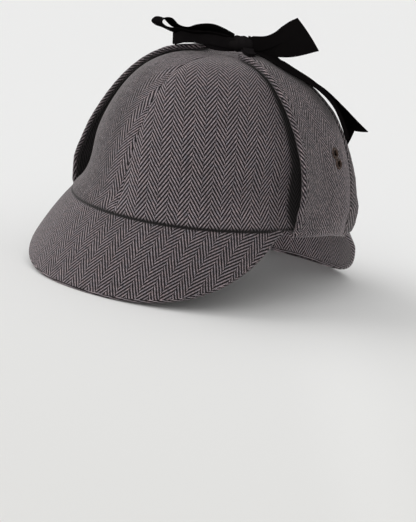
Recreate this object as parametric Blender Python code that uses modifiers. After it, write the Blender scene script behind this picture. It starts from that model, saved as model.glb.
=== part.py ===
# A deerstalker hat of herringbone tweed: four crown panels, a peak in front and one behind, and
# two ear flaps folded up and tied over the crown with black ribbon. It rests on its two peaks.
# Metres, +Z up. The front peak points to -Y and the wearer's left is +X.
import math

import bmesh
import bpy
import numpy as np
from mathutils import Vector

MM = 0.001

# ---- crown ----------------------------------------------------------------------------------
RIM_HALF_WIDTH = 85 * MM
RIM_HALF_LENGTH = 102 * MM
CROWN_HEIGHT = 94 * MM
CROWN_WALL = 2 * MM
CROWN_BULGE = 1.25          # the two powers that make the wall stand up and the top lie flat
CROWN_FLATNESS = 3.17
RIM_FLARE = 0.042           # how far the rim stands out past the wall above it, as a share
RIM_FLARE_HEIGHT = 0.08     # and the share of the height over which it dies away
TOP_FORWARD = 8 * MM        # the top lies this far in front of the rim's centre
TOP_FORWARD_POWER = 1.78
RIM_ARCH = 1.3 * MM         # rise of the rim at the front and the back
WAIST_DEPTH = 4 * MM        # the hollow above the ends of the peaks
WAIST_HEIGHT = 0.22
WAIST_HEIGHT_SPREAD = 0.15
WAIST_TURN = math.radians(58)
WAIST_TURN_SPREAD = 0.45
SIDE_SEAM_TURN = math.radians(84)
SEAM_GAP = 0.5 * MM
PANEL_ROWS = 17
SEAM_DIP = 0.9 * MM
SEAM_DIP_WIDTH = 5 * MM
TOP_HOLE_SHARE = 0.985      # the panels' tips stop just short of the very top
HEM_SHARE = 0.006           # the lowest edge hangs straight down for this share of the wall

# ---- peaks: one row each, sizes in millimetres and degrees -------------------------------------
# middle and span are turns round the crown; roundness and fullness are the powers that shape the
# outline; droop is below the level, end_droop is added at the ends; sweep leans the ends ahead and
# bow is the rise between the seam and the edge.
PEAKS = {
    "front_peak": dict(middle=0, span=71, depth=52, roundness=3.0, fullness=1.15,
                       droop=54, end_droop=3, sweep=0.27, bow=1.5),
    "rear_peak": dict(middle=180, span=49, depth=63, roundness=3.0, fullness=0.6,
                      droop=76.5, end_droop=1, sweep=0.12, bow=1.0),
}
PEAK_THICKNESS = 3 * MM
PEAK_TIP_DEPTH = 3 * MM     # depth left at the pointed ends
SEAT_GAP = 0.3 * MM         # sewn pieces stay this far apart
FLOOR_PRESS = 0.8 * MM      # the peaks' lowest edges are pressed flat by this much
ORIGIN_SHIFT = (2.4 * MM, 4.1 * MM)     # brings the middle of the whole hat's base to the origin

# ---- ear flaps --------------------------------------------------------------------------------
FLAP_THICKNESS = 3.4 * MM
FLAP_TURN = math.radians(94)
FLAP_SEAM_DEPTH = 1.2 * MM  # its sewn edge lies this far inside the crown's outer face
FLAP_SEAM_GAP = 0.8 * MM    # its sewn edge lies this far under the rim
FLAP_FOLD_SHARE = 0.12      # share of the grid spent on the fold
FLAP_TOP_SHARE = 0.885      # the flap's tip, as a share of the way to the crown's top
FLAP_REACH = 0.92           # the crown's radius beside the flap, as a share of its half length
# How far each flap hangs straight down before its fold, at its front, middle and rear.
FLAP_FOLD_DROPS = {"left": (0.2, 3.4, 5.5), "right": (6.0, 4.5, 3.5)}
# Each row is a share of the flap's climb: its half width, its middle's height off the crown, and
# how much higher its edges stand than its middle (millimetres). The front edges differ by side.
FLAP_ROWS = [
    dict(climb=0.00, half_width=34.0, lift=4.0, front_left=0.2, front_right=9.0, rear=1.4),
    dict(climb=0.03, half_width=35.5, lift=4.8, front_left=5.4, front_right=10.2, rear=1.4),
    dict(climb=0.06, half_width=35.5, lift=5.4, front_left=7.8, front_right=10.2, rear=1.3),
    dict(climb=0.11, half_width=34.8, lift=6.0, front_left=8.9, front_right=9.7, rear=1.4),
    dict(climb=0.18, half_width=33.5, lift=6.2, front_left=8.6, front_right=8.6, rear=1.9),
    dict(climb=0.26, half_width=31.8, lift=6.2, front_left=7.6, front_right=7.6, rear=1.8),
    dict(climb=0.38, half_width=28.8, lift=5.9, front_left=5.2, front_right=5.2, rear=1.7),
    dict(climb=0.50, half_width=25.3, lift=5.2, front_left=3.2, front_right=3.2, rear=1.9),
    dict(climb=0.64, half_width=20.0, lift=3.9, front_left=1.6, front_right=1.6, rear=1.0),
    dict(climb=0.75, half_width=15.0, lift=2.9, front_left=0.8, front_right=0.8, rear=0.3),
    dict(climb=0.86, half_width=11.0, lift=2.4, front_left=0.2, front_right=0.2, rear=0.2),
    dict(climb=0.95, half_width=8.5, lift=2.2, front_left=0.0, front_right=0.0, rear=0.0),
    dict(climb=1.00, half_width=5.0, lift=2.1, front_left=0.0, front_right=0.0, rear=0.0),
]
EYELETS = [dict(across=0.40, climb=0.330), dict(across=0.44, climb=0.272)]
EYELET_RADIUS = 3.1 * MM
EYELET_HOLE_RADIUS = 1.6 * MM
EYELET_BARREL_RADIUS = 2.1 * MM
EYELET_RIM = 0.7 * MM

# ---- ribbon -----------------------------------------------------------------------------------
RIBBON_THICKNESS = 0.8 * MM
KNOT_CENTRE = (8, -0.5, 101.5)
KNOT_HALF_SIZE = (8.3, 5.4, 5.4)
KNOT_BEARING = math.radians(37)
# Each row is one section of ribbon: its middle, its width, and which way the width points, as a
# bearing from +X in plan and a lean above the horizontal (millimetres and degrees).
RIBBON_COLUMNS = ("x", "y", "z", "width", "bearing", "lean")
TIE_RIGHT = [
    (-36, -2, 98, 22, -85, 5),
    (-31, -8, 100.2, 16, -75, 20),
    (-30, -16, 99.8, 9.4, -60, 48),
    (-27.5, -21.5, 98.9, 8.6, -45, 75),
    (-18, -18.5, 100.6, 9.2, -45, 80),
    (-9, -13, 101, 10, -50, 78),
    (-0.5, -7.6, 100.4, 8, -54, 70),
]
TIE_LEFT = [
    (24, -9, 97.5, 8, 85, 0),
    (19.5, -7, 98.5, 7, 75, 0),
    (15.8, -3.5, 99.3, 6, 60, 0),
]
LOOP_RIGHT = [
    (14.6, 2.2, 103, 8, -30, -80),
    (19, 5, 103.8, 10.2, -30, -78),
    (24, 10, 104.4, 14, -25, -74),
    (31, 17, 106.5, 20.5, 0, -62),
    (38, 24.5, 110.5, 24.5, 18, -50),
    (40, 27, 111.8, 25, 20, -49),
    (38.5, 29, 111.5, 25, 20, -49),
    (33, 26, 108.5, 23, 14, -54),
    (26, 20, 105.8, 17, -5, -68),
    (19, 12, 104.6, 11, -30, -78),
    (13.2, 6.4, 103.8, 7.4, -35, -80),
]
LOOP_LEFT = [
    (1.8, -5.2, 104.6, 7, -54, 50),
    (-2.5, -7, 108, 10, -54, 42),
    (-7, -9.5, 109.6, 14, -54, 35),
    (-17, -16, 109.6, 18, -54, 20),
    (-22, -20, 108, 22, -54, 11),
    (-28, -24, 109.1, 24, -54, 11),
    (-34, -27.5, 112.6, 25, -54, 11),
    (-38, -30.5, 112.8, 25, -54, 11),
    (-40.3, -32.6, 110.6, 25, -54, 11),
    (-38, -31.5, 108.4, 25, -54, 11),
    (-32, -28, 107, 24, -54, 12),
    (-27, -24.8, 105.9, 22, -54, 12),
    (-18, -18, 106.6, 18, -54, 20),
    (-9, -12, 106.5, 10, -54, 30),
    (-1, -7.2, 105, 7, -54, 46),
]
TAIL_RIGHT = [
    (11, 7.8, 99.4, 8, -50, 0),
    (16, 17, 97.6, 15, -52, 3),
    (22, 33, 90.2, 22, -50, 6),
    (28, 48, 80.3, 25, -48, 9),
    (34, 59, 70.5, 25, -44, 10),
    (41, 67, 60, 25, -38, 13),
    (48, 71.5, 50, 25, -27, 22),
    (54, 74, 41.5, 25, -20, 33),
]
# This one lies over the left flap: the turns and the shares of the way up the crown at which its
# two edges lie, and the height off the crown of its front edge, its middle and its rear edge.
LAID_COLUMNS = ("front_turn", "rear_turn", "front_share", "rear_share",
                "front_lift", "middle_lift", "rear_lift")
LAID_MIDDLE = 0.33
TAIL_LEFT = [
    (110, 134, 0.862, 0.862, 4.6, 4.6, 4.6),
    (101, 126, 0.800, 0.800, 4.7, 4.8, 4.5),
    (97, 117, 0.735, 0.765, 5.1, 5.2, 4.7),
    (100, 122, 0.665, 0.730, 5.8, 5.9, 4.4),
    (106, 129, 0.605, 0.675, 6.8, 6.7, 2.6),
    (110.5, 132, 0.550, 0.615, 8.0, 7.5, 3.2),
    (114, 133.5, 0.485, 0.520, 9.3, 9.0, 5.5),
    (114.5, 132, 0.420, 0.425, 10.0, 9.8, 6.8),
    (114, 130.5, 0.370, 0.360, 10.0, 9.8, 6.8),
    (113.5, 129.5, 0.325, 0.315, 10.0, 9.8, 6.8),
]
NOTCH_DEPTH = 9 * MM

TWEED = (0.105, 0.095, 0.102)
FACING = (0.12, 0.108, 0.112)
RIBBON = (0.008, 0.008, 0.009)
BRASS = (0.23, 0.16, 0.10)


def remove_everything():
    for item in list(bpy.data.objects):
        bpy.data.objects.remove(item)


def make_material(name, colour, roughness, metallic=0.0):
    material = bpy.data.materials.new(name)
    material.use_nodes = True
    shader = material.node_tree.nodes["Principled BSDF"]
    shader.inputs["Base Color"].default_value = (*colour, 1.0)
    shader.inputs["Roughness"].default_value = roughness
    shader.inputs["Metallic"].default_value = metallic
    return material


# ---- the crown's form, in the hat's own frame with the rim level -------------------------------
def wall_radius(height):
    """Radius of the wall as a share of the rim's, at a height given as a share of the crown's."""
    wall = np.clip(1 - height ** CROWN_BULGE, 0, None) ** (1 / CROWN_FLATNESS)
    return wall - RIM_FLARE * (1 - np.exp(-(height / RIM_FLARE_HEIGHT) ** 2)) * (1 - height)


def climb_table():
    """Heights up the side of the crown, with the share of the way that each one lies at."""
    heights = 1 - (1 - np.linspace(0, 1, 600)) ** 3
    radii = wall_radius(heights) * (RIM_HALF_WIDTH + RIM_HALF_LENGTH) / 2
    steps = np.hypot(np.diff(radii), np.diff(heights) * CROWN_HEIGHT)
    lengths = np.concatenate([[0], np.cumsum(steps)])
    return lengths / lengths[-1], heights


CLIMB_SHARES, CLIMB_HEIGHTS = climb_table()


def crown_surface(turn, climb):
    height = np.interp(climb, CLIMB_SHARES, CLIMB_HEIGHTS)
    radius = wall_radius(height)
    x = RIM_HALF_WIDTH * np.sin(turn) * radius
    y = -RIM_HALF_LENGTH * np.cos(turn) * radius - TOP_FORWARD * height ** TOP_FORWARD_POWER
    z = RIM_ARCH * np.cos(turn) ** 2 * (1 - height) + CROWN_HEIGHT * height
    return np.stack([x, y, z], axis=-1)


def crown_point(turn, climb, lift=0.0):
    """A point turned from the front, a share of the way up the wall, and lifted off it."""
    turn, climb, lift = np.broadcast_arrays(turn, climb, lift)
    step = 0.002
    around = crown_surface(turn + step, climb) - crown_surface(turn - step, climb)
    low, high = np.clip(climb - step, 0, 1), np.clip(climb + step, 0, 1)
    up = crown_surface(turn, high) - crown_surface(turn, low)
    normal = np.cross(around, up)
    normal /= np.linalg.norm(normal, axis=-1, keepdims=True) + 1e-12
    return crown_surface(turn, climb) + lift[..., None] * normal


def panel_lift(turn, climb, seams):
    """The cloth sinks a little along the seams and is drawn in above the peak's ends."""
    height = np.interp(climb, CLIMB_SHARES, CLIMB_HEIGHTS)
    reach = RIM_HALF_LENGTH * wall_radius(height)
    nearest = np.min([np.abs(turn - seam) for seam in seams], axis=0) * reach
    dip = SEAM_DIP * np.exp(-(nearest / SEAM_DIP_WIDTH) ** 2) * np.clip(climb / 0.1, 0, 1)
    side = np.exp(-((np.abs(turn) - WAIST_TURN) / WAIST_TURN_SPREAD) ** 2)
    level = np.exp(-((height - WAIST_HEIGHT) / WAIST_HEIGHT_SPREAD) ** 2) * np.clip(height / 0.05, 0, 1)
    return -dip - WAIST_DEPTH * side * level


# ---- how the level hat settles on its two peaks -------------------------------------------------
def peak_surface(shape, along, depth):
    """A point of a peak's middle surface; along runs from end to end (-1 to 1), depth 0 to 1."""
    middle = math.radians(shape["middle"])
    turn = middle + along * math.radians(shape["span"])
    normal = np.stack([np.sin(turn) / RIM_HALF_WIDTH, -np.cos(turn) / RIM_HALF_LENGTH, 0 * turn], -1)
    normal /= np.linalg.norm(normal, axis=-1, keepdims=True)
    ahead = np.array([math.sin(middle), -math.cos(middle), 0.0])
    out = normal + shape["sweep"] * np.abs(along)[..., None] * ahead
    out /= np.linalg.norm(out, axis=-1, keepdims=True)
    droop = np.radians(shape["droop"] + shape["end_droop"] * along ** 2)
    fall = out * np.cos(droop)[..., None] - np.array([0, 0, 1.0]) * np.sin(droop)[..., None]
    outward = out * np.sin(droop)[..., None] + np.array([0, 0, 1.0]) * np.cos(droop)[..., None]
    fullness = np.clip(1 - np.abs(along) ** shape["roundness"], 0, None) ** shape["fullness"]
    reach = np.maximum(shape["depth"] * MM * fullness, PEAK_TIP_DEPTH)
    bow = shape["bow"] * MM * np.sin(np.pi * depth) * fullness
    seat = crown_surface(turn, 0 * turn) - normal * PEAK_THICKNESS / 2
    seat[..., 2] -= SEAT_GAP + PEAK_THICKNESS / 2 * np.cos(droop)
    return seat + fall * (reach * depth)[..., None] + outward * bow[..., None], outward


def resting_pose():
    """The pitch and the lift that bring the lowest edge of each peak to the floor."""
    along = np.linspace(-1, 1, 81)
    edges = []
    for shape in PEAKS.values():
        middle, outward = peak_surface(shape, along, np.ones_like(along))
        edges.append(middle - outward * PEAK_THICKNESS / 2)
    pitch = 0.0
    for _ in range(8):
        lowest = []
        for edge in edges:
            height = edge[:, 2] * math.cos(pitch) + edge[:, 1] * math.sin(pitch)
            lowest.append(edge[np.argmin(height)])
        front, rear = lowest
        pitch = math.atan2(front[2] - rear[2], rear[1] - front[1])
    lift = -(front[2] * math.cos(pitch) + front[1] * math.sin(pitch))
    return pitch, lift - FLOOR_PRESS


REST_PITCH, REST_LIFT = resting_pose()


def settle(places):
    """Turns points from the hat's level frame about X and moves them to where the hat rests."""
    places = np.asarray(places, dtype=float)
    y = places[..., 1] * math.cos(REST_PITCH) - places[..., 2] * math.sin(REST_PITCH)
    z = places[..., 1] * math.sin(REST_PITCH) + places[..., 2] * math.cos(REST_PITCH) + REST_LIFT
    return np.stack([places[..., 0] + ORIGIN_SHIFT[0], y + ORIGIN_SHIFT[1], z], axis=-1)


# ---- making pieces --------------------------------------------------------------------------------
def bent_grid(name, shape, columns, rows, material, collection):
    """A flat grid whose points go where shape(across, along) says, both running from 0 to 1."""
    mesh = bpy.data.meshes.new(name)
    bm = bmesh.new()
    bmesh.ops.create_grid(bm, x_segments=columns, y_segments=rows, size=0.5)
    across = np.array([vertex.co.x + 0.5 for vertex in bm.verts])
    along = np.array([vertex.co.y + 0.5 for vertex in bm.verts])
    for vertex, place in zip(bm.verts, settle(shape(across, along))):
        vertex.co = place
    bm.to_mesh(mesh)
    bm.free()
    mesh.materials.append(material)
    item = bpy.data.objects.new(name, mesh)
    collection.objects.link(item)
    return item


def thicken(item, thickness, offset, even=True):
    solid = item.modifiers.new("Thickness", "SOLIDIFY")
    solid.thickness = thickness
    solid.offset = offset
    solid.use_even_offset = even


def cut_away(item, cutter):
    cut = item.modifiers.new("Cut", "BOOLEAN")
    cut.operation = "DIFFERENCE"
    cut.object = cutter
    cut.solver = "EXACT"


def as_cutter(item):
    item.hide_render = True
    item.display_type = "WIRE"


def shade(item):
    item.data.shade_smooth()
    item.data.set_sharp_from_angle(angle=math.radians(40))


# ---- the crown's four panels ----------------------------------------------------------------------
def make_crown(material, collection):
    seams = {
        "crown_front_left": (0.0, SIDE_SEAM_TURN),
        "crown_back_left": (SIDE_SEAM_TURN, math.pi),
        "crown_back_right": (-math.pi, -SIDE_SEAM_TURN),
        "crown_front_right": (-SIDE_SEAM_TURN, 0.0),
    }
    for name, (first, last) in seams.items():
        def panel(across, along, first=first, last=last):
            climb = np.interp(along, (0, 1 / PANEL_ROWS, 1), (HEM_SHARE, HEM_SHARE, TOP_HOLE_SHARE))
            height = np.interp(climb, CLIMB_SHARES, CLIMB_HEIGHTS)
            margin = SEAM_GAP / 2 / (RIM_HALF_WIDTH * wall_radius(height))
            turn = first + margin + across * (last - first - 2 * margin)
            places = crown_point(turn, climb, panel_lift(turn, climb, (first, last)))
            rim = crown_surface(turn, 0 * turn)
            places[..., 2] = np.where(along < 0.5 / PANEL_ROWS, rim[..., 2], places[..., 2])
            return places

        item = bent_grid(name, panel, 14, PANEL_ROWS, material, collection)
        thicken(item, CROWN_WALL, -1)
        shade(item)


# ---- the two peaks ----------------------------------------------------------------------------------
def make_peaks(material, collection, floor_cutter):
    for name, shape in PEAKS.items():
        def peak(across, along, shape=shape):
            places, _ = peak_surface(shape, across * 2 - 1, 1 - along)
            return places

        item = bent_grid(name, peak, 32, 5, material, collection)
        thicken(item, PEAK_THICKNESS, 0)
        cut_away(item, floor_cutter)
        shade(item)


# ---- the ear flaps ------------------------------------------------------------------------------------
def flap_column(name, climb):
    return np.interp(climb, [row["climb"] for row in FLAP_ROWS], [row[name] for row in FLAP_ROWS]) * MM


def flap_lift(side, across, climb):
    """Height off the crown of the flap's middle surface; its edges stand higher than its middle."""
    front = flap_column("front_left" if side > 0 else "front_right", climb)
    curl = np.where(across < 0, front, flap_column("rear", climb))
    return flap_column("lift", climb) + curl * across ** 2


def flap_surface(side, across, climb):
    """The flap's middle surface above its fold; across -1 is its front edge and 1 its rear."""
    share = climb * FLAP_TOP_SHARE
    reach = RIM_HALF_LENGTH * FLAP_REACH * wall_radius(np.interp(share, CLIMB_SHARES, CLIMB_HEIGHTS))
    turn = FLAP_TURN + across * flap_column("half_width", climb) / reach
    return crown_point(side * turn, share, flap_lift(side, across, climb))


def make_flap(side, word, material, collection):
    def flap(across, along):
        sweep = (across * 2 - 1) * side
        climb = np.clip((along - FLAP_FOLD_SHARE) / (1 - FLAP_FOLD_SHARE), 0, 1)
        above = flap_surface(side, sweep, climb)
        foot = flap_surface(side, sweep, 0 * climb)
        turn = FLAP_TURN + sweep * flap_column("half_width", 0 * climb) / (RIM_HALF_LENGTH * FLAP_REACH)
        rim = crown_surface(side * turn, 0 * turn)
        outward = foot - rim
        outward[..., 2] = 0
        stand_off = np.linalg.norm(outward, axis=-1)
        outward /= stand_off[..., None]
        bend = np.clip(along / FLAP_FOLD_SHARE, 0, 1) * math.pi
        radius = (stand_off + FLAP_SEAM_DEPTH) / 2
        out = radius * (1 - np.cos(bend)) - FLAP_SEAM_DEPTH
        straight = np.interp(sweep, (-1, 0, 1), FLAP_FOLD_DROPS[word]) * MM
        straight = straight * np.sin(np.minimum(bend, math.pi / 2))
        drop = FLAP_SEAM_GAP + straight + radius * np.sin(bend) - (foot[..., 2] - rim[..., 2]) * bend / math.pi
        folded = rim + outward * out[..., None]
        folded[..., 2] -= drop
        return np.where((along < FLAP_FOLD_SHARE)[..., None], folded, above)

    item = bent_grid("ear_flap_" + word, flap, 12, 26, material, collection)
    thicken(item, FLAP_THICKNESS, 0)
    return item


# ---- eyelets ------------------------------------------------------------------------------------------
def flap_frame(side, across, climb):
    """A point of the flap with its outward normal, in the resting frame."""
    step = 0.01
    across, climb = np.array([across]), np.array([climb])
    here = settle(flap_surface(side, across, climb))[0]
    ahead = settle(flap_surface(side, across + step, climb))[0] - here
    up = settle(flap_surface(side, across, climb + step))[0] - here
    normal = np.cross(ahead, up) * side
    return here, normal / np.linalg.norm(normal)


def place_on_normal(item, place, normal):
    item.rotation_mode = "QUATERNION"
    item.rotation_quaternion = Vector(normal).to_track_quat("Z", "Y")
    item.location = place


def make_eyelet(name, place, normal, material, collection):
    """A turned ring: a flange outside, a barrel through the cloth and a rolled edge inside."""
    top = FLAP_THICKNESS / 2 + SEAT_GAP
    profile = [
        (EYELET_HOLE_RADIUS, top),
        (EYELET_HOLE_RADIUS + 0.3 * MM, top + EYELET_RIM),
        (EYELET_RADIUS - 0.5 * MM, top + EYELET_RIM),
        (EYELET_RADIUS, top + EYELET_RIM * 0.4),
        (EYELET_RADIUS, top),
        (EYELET_BARREL_RADIUS, top),
        (EYELET_BARREL_RADIUS, -top),
        (EYELET_HOLE_RADIUS, -top),
    ]
    mesh = bpy.data.meshes.new(name)
    edges = [(i, (i + 1) % len(profile)) for i in range(len(profile))]
    mesh.from_pydata([(radius, 0, height) for radius, height in profile], edges, [])
    mesh.materials.append(material)
    item = bpy.data.objects.new(name, mesh)
    collection.objects.link(item)
    turned = item.modifiers.new("Turned", "SCREW")
    turned.steps = 14
    turned.render_steps = 14
    turned.use_merge_vertices = True
    turned.merge_threshold = 0.00001
    turned.use_normal_calculate = True
    place_on_normal(item, place, normal)
    return item


def make_flap_set(side, word, materials, collection, cutters):
    flap = make_flap(side, word, materials["facing"], collection)
    for number, row in enumerate(EYELETS, start=1):
        place, normal = flap_frame(side, row["across"], row["climb"])
        bpy.ops.mesh.primitive_cylinder_add(vertices=14, radius=EYELET_BARREL_RADIUS + SEAT_GAP,
                                            depth=4 * FLAP_THICKNESS)
        drill = bpy.context.object
        drill.name = "eyelet_hole_" + word + "_" + str(number)
        place_on_normal(drill, place, normal)
        for owner in list(drill.users_collection):
            owner.objects.unlink(drill)
        cutters.objects.link(drill)
        as_cutter(drill)
        cut_away(flap, drill)
        make_eyelet("eyelet_" + word + "_" + str(number), place, normal, materials["brass"], collection)
    shade(flap)


# ---- ribbon -------------------------------------------------------------------------------------------
def ribbon_sections(rows, count):
    """Rows smoothed into count sections by a curve through them: middles and half widths."""
    table = np.array(rows, dtype=float)
    middles = table[:, 0:3] * MM
    lengths = np.concatenate([[0], np.cumsum(np.linalg.norm(np.diff(middles, axis=0), axis=1))])
    bearing, lean = np.radians(table[:, 4]), np.radians(table[:, 5])
    pointing = np.stack([np.cos(lean) * np.cos(bearing), np.cos(lean) * np.sin(bearing), np.sin(lean)], -1)
    half = pointing * (table[:, 3:4] * MM / 2)
    stations = np.linspace(0, lengths[-1], count)
    smooth = []
    for values in (middles, half):
        slopes = np.gradient(values, lengths, axis=0)
        place = np.clip(np.searchsorted(lengths, stations, side="right") - 1, 0, len(lengths) - 2)
        gap = lengths[place + 1] - lengths[place]
        share = ((stations - lengths[place]) / gap)[:, None]
        gap = gap[:, None]
        start, end = values[place], values[place + 1]
        smooth.append((2 * share ** 3 - 3 * share ** 2 + 1) * start
                      + (share ** 3 - 2 * share ** 2 + share) * gap * slopes[place]
                      + (3 * share ** 2 - 2 * share ** 3) * end
                      + (share ** 3 - share ** 2) * gap * slopes[place + 1])
    return smooth


def make_ribbon(name, rows, count, material, collection, notched=False):
    middles, halves = ribbon_sections(rows, count)

    def strip(across, along):
        section = np.rint(along * (count - 1)).astype(int)
        places = middles[section] + halves[section] * (across * 2 - 1)[:, None]
        if notched:
            last = section == count - 1
            run = middles[-1] - middles[-2]
            run /= np.linalg.norm(run)
            depth = NOTCH_DEPTH * (1 - np.abs(across * 2 - 1))
            places[last] -= run * depth[last][:, None]
        return places

    item = bent_grid(name, strip, 4 if notched else 2, count - 1, material, collection)
    thicken(item, RIBBON_THICKNESS, 0, even=False)
    shade(item)


def make_laid_tail(name, rows, count, material, collection):
    """A ribbon that lies over the crown's side, following it across as well as along."""
    steps = np.linspace(0, 1, len(rows))

    def strip(across, along):
        at = {}
        for place, column in enumerate(LAID_COLUMNS):
            at[column] = np.interp(along, steps, [row[place] for row in rows])
        turn = np.radians(at["front_turn"] + across * (at["rear_turn"] - at["front_turn"]))
        share = at["front_share"] + across * (at["rear_share"] - at["front_share"])
        to_middle = np.clip(across / LAID_MIDDLE, 0, 1)
        to_rear = np.clip((across - LAID_MIDDLE) / (1 - LAID_MIDDLE), 0, 1)
        lift = at["front_lift"] + to_middle * (at["middle_lift"] - at["front_lift"])
        lift += to_rear * (at["rear_lift"] - at["middle_lift"])
        return crown_point(turn, share, lift * MM)

    item = bent_grid(name, strip, 4, count - 1, material, collection)
    thicken(item, RIBBON_THICKNESS, 0, even=False)
    shade(item)


def make_knot(material, collection):
    """A rounded block: a cube smoothed twice and stretched along the ribbon's run."""
    mesh = bpy.data.meshes.new("bow_knot")
    bm = bmesh.new()
    bmesh.ops.create_cube(bm, size=2.0)
    for vertex in bm.verts:
        x, y, z = (vertex.co[axis] * KNOT_HALF_SIZE[axis] for axis in range(3))
        place = np.array([x * math.cos(KNOT_BEARING) - y * math.sin(KNOT_BEARING),
                          x * math.sin(KNOT_BEARING) + y * math.cos(KNOT_BEARING), z]) + np.array(KNOT_CENTRE)
        vertex.co = settle(place * MM)
    bm.to_mesh(mesh)
    bm.free()
    mesh.materials.append(material)
    item = bpy.data.objects.new("bow_knot", mesh)
    collection.objects.link(item)
    smooth = item.modifiers.new("Rounded", "SUBSURF")
    smooth.levels = 2
    smooth.render_levels = 2
    shade(item)


def make_bow(material, collection):
    make_knot(material, collection)
    make_ribbon("tie_right", TIE_RIGHT, 10, material, collection)
    make_ribbon("tie_left", TIE_LEFT, 7, material, collection)
    make_ribbon("bow_loop_right", LOOP_RIGHT, 20, material, collection)
    make_ribbon("bow_loop_left", LOOP_LEFT, 20, material, collection)
    make_ribbon("ribbon_tail_right", TAIL_RIGHT, 16, material, collection, notched=True)
    make_laid_tail("ribbon_tail_left", TAIL_LEFT, 14, material, collection)


def make_floor_cutter(cutters):
    bpy.ops.mesh.primitive_cube_add(size=1.0, location=(0, 0, -0.5))
    cutter = bpy.context.object
    cutter.name = "floor_cutter"
    for owner in list(cutter.users_collection):
        owner.objects.unlink(cutter)
    cutters.objects.link(cutter)
    as_cutter(cutter)
    return cutter


def main():
    remove_everything()
    hat = bpy.data.collections.new("deerstalker_hat")
    cutters = bpy.data.collections.new("cutters")
    bpy.context.scene.collection.children.link(hat)
    bpy.context.scene.collection.children.link(cutters)
    materials = {
        "tweed": make_material("herringbone_tweed", TWEED, 0.9),
        "facing": make_material("tweed_facing", FACING, 0.9),
        "ribbon": make_material("black_satin_ribbon", RIBBON, 0.45),
        "brass": make_material("antique_brass", BRASS, 0.35, 1.0),
    }
    make_crown(materials["tweed"], hat)
    make_peaks(materials["tweed"], hat, make_floor_cutter(cutters))
    make_flap_set(1, "left", materials, hat, cutters)
    make_flap_set(-1, "right", materials, hat, cutters)
    make_bow(materials["ribbon"], hat)


main()
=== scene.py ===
# Looks for the deerstalker hat: herringbone tweed, turned seams, rolled borders and a black ribbon bow.
import math

import bpy
import numpy as np
from mathutils import Matrix


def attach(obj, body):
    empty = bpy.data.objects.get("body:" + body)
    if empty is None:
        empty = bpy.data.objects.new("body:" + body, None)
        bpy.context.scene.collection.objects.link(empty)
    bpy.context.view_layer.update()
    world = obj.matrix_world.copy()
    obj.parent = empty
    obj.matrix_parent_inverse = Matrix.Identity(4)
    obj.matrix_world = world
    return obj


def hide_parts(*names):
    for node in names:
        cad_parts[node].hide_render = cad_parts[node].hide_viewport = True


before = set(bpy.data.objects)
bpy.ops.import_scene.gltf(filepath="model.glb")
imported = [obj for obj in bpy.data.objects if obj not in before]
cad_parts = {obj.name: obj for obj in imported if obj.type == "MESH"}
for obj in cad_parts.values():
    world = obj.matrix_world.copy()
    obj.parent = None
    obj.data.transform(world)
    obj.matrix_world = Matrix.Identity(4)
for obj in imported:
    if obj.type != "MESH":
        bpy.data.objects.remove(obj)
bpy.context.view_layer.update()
mm = 0.001
print("frame loaded")


# t - k sin(2 pi t) / (2 pi): even steps drawn together at both ends
def gathered(count, pull=0.85):
    t = np.linspace(0, 1, count)
    return t - pull * np.sin(2 * math.pi * t) / (2 * math.pi)


# t^2 (3 - 2 t), from 0 below low to 1 above high
def smoothStep(low, high, value):
    t = np.clip((value - low) / (high - low), 0, 1)
    return t * t * (3 - 2 * t)


# exp(-(value / width)^2): 1 at 0 and almost nothing beyond two widths
def bell(value, width):
    return np.exp(-(value / width) ** 2)


# The hat's form, by the same rules as its solids: the crown with its rim level, and how the hat then
# tips on to its two peaks.
hat = dict(halfWidth=85 * mm, halfLength=102 * mm, height=94 * mm, bulge=1.25, flatness=3.17,
           flare=0.042, flareHeight=0.08, topForward=8 * mm, topForwardPower=1.78, rimArch=1.3 * mm,
           waistDepth=4 * mm, waistStart=0.05, waistHeight=0.22, waistHeightSpread=0.15,
           waistTurn=math.radians(58), waistTurnSpread=0.45, sideSeam=math.radians(84),
           pitch=math.radians(4.2581), lift=51.5554 * mm, shiftX=2.4 * mm, shiftY=4.1 * mm)


# wall = (1 - h^bulge)^(1/flatness), less a flare that dies away just above the rim
def wallRadius(height):
    wall = np.clip(1 - height ** hat["bulge"], 0, None) ** (1 / hat["flatness"])
    return wall - hat["flare"] * (1 - bell(height, hat["flareHeight"])) * (1 - height)


# heights up the crown with the share of the wall's length at which each lies
tableHeights = 1 - (1 - np.linspace(0, 1, 900)) ** 3
tableRadii = wallRadius(tableHeights) * (hat["halfWidth"] + hat["halfLength"]) / 2
wallSteps = np.hypot(np.diff(tableRadii), np.diff(tableHeights) * hat["height"])
tableShares = np.concatenate([[0], np.cumsum(wallSteps)])
wallLength = tableShares[-1]
tableShares = tableShares / wallLength


# the height at a share of the wall's length
def heightAt(climb):
    return np.interp(climb, tableShares, tableHeights)


# an ellipse at each height, its middle moved forward by topForward * h^power towards the top
def crownSurface(turn, climb):
    height = heightAt(climb)
    radius = wallRadius(height)
    x = hat["halfWidth"] * np.sin(turn) * radius
    y = -hat["halfLength"] * np.cos(turn) * radius - hat["topForward"] * height ** hat["topForwardPower"]
    z = hat["rimArch"] * np.cos(turn) ** 2 * (1 - height) + hat["height"] * height
    return np.stack([x, y, z], axis=-1)


# the same point moved out along the surface's normal by lift
def crownPoint(turn, climb, lift):
    turn, climb, lift = np.broadcast_arrays(turn, climb, lift)
    step = 0.002
    around = crownSurface(turn + step, climb) - crownSurface(turn - step, climb)
    up = crownSurface(turn, np.clip(climb + step, 0, 1)) - crownSurface(turn, np.clip(climb - step, 0, 1))
    normal = np.cross(around, up)
    normal /= np.linalg.norm(normal, axis=-1, keepdims=True) + 1e-12
    return crownSurface(turn, climb) + lift[..., None] * normal


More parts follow.
